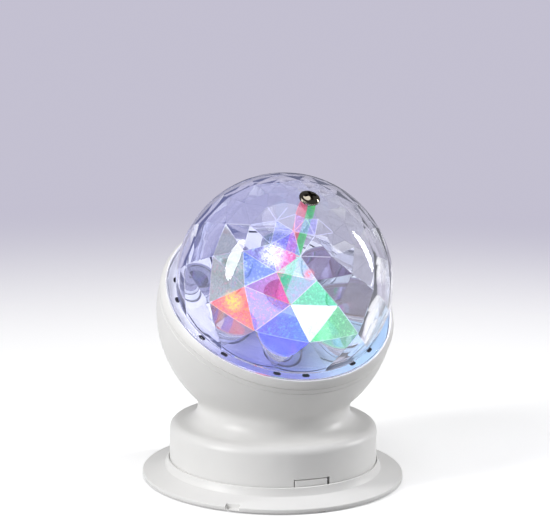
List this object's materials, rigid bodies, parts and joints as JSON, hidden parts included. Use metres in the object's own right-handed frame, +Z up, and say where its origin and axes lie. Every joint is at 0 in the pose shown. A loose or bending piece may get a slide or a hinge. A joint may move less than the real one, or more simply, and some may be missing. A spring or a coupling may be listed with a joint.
{
  "type": "rotating dome party light",
  "caption": "Rotating party light: a clear dome with inner facets turns over a ring of coloured LEDs in a tilted white bowl on a flanged drum base.",
  "frame": {"origin": "centre of the footprint, on the surface that the rubber feet stand on", "axes": "+Z up; -Y to the front, the side the dome leans towards and the release tab is on; +X to the right seen from the front"},
  "size_m": [0.112, 0.112, 0.1315],
  "materials": {
    "white_plastic": "satin moulded, faintly warm white",
    "inner_plastic": "matt moulded, inside the housing",
    "deck_plastic": "satin moulded, pale under the dome",
    "clear_plastic": "clear, smooth outside and faceted inside",
    "lens_plastic": "clear, polished",
    "grey_rubber": "matt",
    "silver_coat": "vacuum metallised, mirror bright",
    "chrome_steel": "plated, polished",
    "spring_steel": "nickel plated",
    "motor_can": "zinc plated sheet",
    "bush_bronze": "turned",
    "gear_plastic": "natural acetal",
    "board_green": "green lacquered board",
    "board_white": "white lacquered board",
    "chip_black": "matt moulded",
    "cell_sleeve": "printed sleeve over a metal can, left plain",
    "led_blue": "lit emitter",
    "led_green": "lit emitter",
    "led_amber": "lit emitter",
    "led_magenta": "lit emitter",
    "led_cyan": "lit emitter",
    "led_violet": "lit emitter",
    "led_white": "lit emitter",
    "led_red": "lit emitter"
  },
  "bodies": {
    "lamp": {"base_plate": "white_plastic", "foot_1": "grey_rubber", "foot_2": "grey_rubber", "foot_3": "grey_rubber", "housing": "white_plastic", "bottom_cover": "white_plastic", "cell_1": "cell_sleeve", "cell_2": "cell_sleeve", "cell_3": "cell_sleeve", "contact_negative": "spring_steel", "contact_link_1": "spring_steel", "contact_link_2": "spring_steel", "contact_positive": "spring_steel", "cover_screw_1": "chrome_steel", "cover_screw_2": "chrome_steel", "cover_screw_3": "chrome_steel", "cover_screw_4": "chrome_steel", "control_board": "board_green", "control_chip": "chip_black", "capacitor": "chip_black", "switch_body": "chrome_steel", "deck_plate": "deck_plastic", "spindle_bush": "bush_bronze", "reflector_cups": "silver_coat", "led_board": "board_white", "led_1": "led_blue", "led_2": "led_green", "led_3": "led_amber", "led_4": "led_magenta", "led_5": "led_cyan", "led_6": "led_violet", "led_7": "led_white", "led_8": "led_red", "led_lens_1": "lens_plastic", "led_lens_2": "lens_plastic", "led_lens_3": "lens_plastic", "led_lens_4": "lens_plastic", "led_lens_5": "lens_plastic", "led_lens_6": "lens_plastic", "led_lens_7": "lens_plastic", "led_lens_8": "lens_plastic", "chassis_plate": "inner_plastic", "gear_case": "inner_plastic", "chassis_screw_1": "chrome_steel", "chassis_screw_2": "chrome_steel", "chassis_screw_3": "chrome_steel", "gear_pin_1": "chrome_steel", "gear_pin_2": "chrome_steel", "motor": "motor_can"},
    "rotor": {"output_gear": "gear_plastic", "spindle": "white_plastic", "dome": "clear_plastic", "dome_screw": "chrome_steel"},
    "reduction_1": {"reduction_gear_1": "gear_plastic"},
    "reduction_2": {"reduction_gear_2": "gear_plastic"},
    "motor_rotor": {"motor_pinion": "bush_bronze"},
    "door": {"battery_door": "white_plastic"},
    "tab": {"release_tab": "white_plastic"},
    "knob": {"switch_knob": "chip_black"}
  },
  "joints": [
    {"name": "dome_spin", "type": "hinge", "parent": "lamp", "child": "rotor", "pos_m": [0, 0, 0.07184], "axis": [0, -0.5556, 0.8315], "continuous": true},
    {"name": "reduction_1_spin", "type": "hinge", "parent": "lamp", "child": "reduction_1", "pos_m": [0, 0.01355, 0.08089], "axis": [0, -0.5556, 0.8315], "continuous": true},
    {"name": "reduction_2_spin", "type": "hinge", "parent": "lamp", "child": "reduction_2", "pos_m": [0.01412, 0.00678, 0.07637], "axis": [0, -0.5556, 0.8315], "continuous": true},
    {"name": "motor_spin", "type": "hinge", "parent": "lamp", "child": "motor_rotor", "pos_m": [0.01412, -0.00678, 0.06731], "axis": [0, -0.5556, 0.8315], "continuous": true},
    {"name": "battery_door_swing", "type": "hinge", "parent": "lamp", "child": "door", "pos_m": [0, 0.0221, 0.0031], "axis": [1, 0, 0], "range_deg": [0, 90]},
    {"name": "release_tab_press", "type": "hinge", "parent": "lamp", "child": "tab", "pos_m": [0, -0.0425, 0.0046], "axis": [-1, 0, 0], "range_deg": [0, 20], "stiffness_Nm_per_rad": 0.02, "springref_deg": -2.86},
    {"name": "power_switch_slide", "type": "slide", "parent": "lamp", "child": "knob", "axis": [1, 0, 0], "range_m": [0, 0.004]}
  ],
  "couplings": [
    {"joint": "reduction_1_spin", "follows": "dome_spin", "ratio": -3},
    {"joint": "reduction_2_spin", "follows": "dome_spin", "ratio": 9},
    {"joint": "motor_spin", "follows": "dome_spin", "ratio": -27}
  ]
}
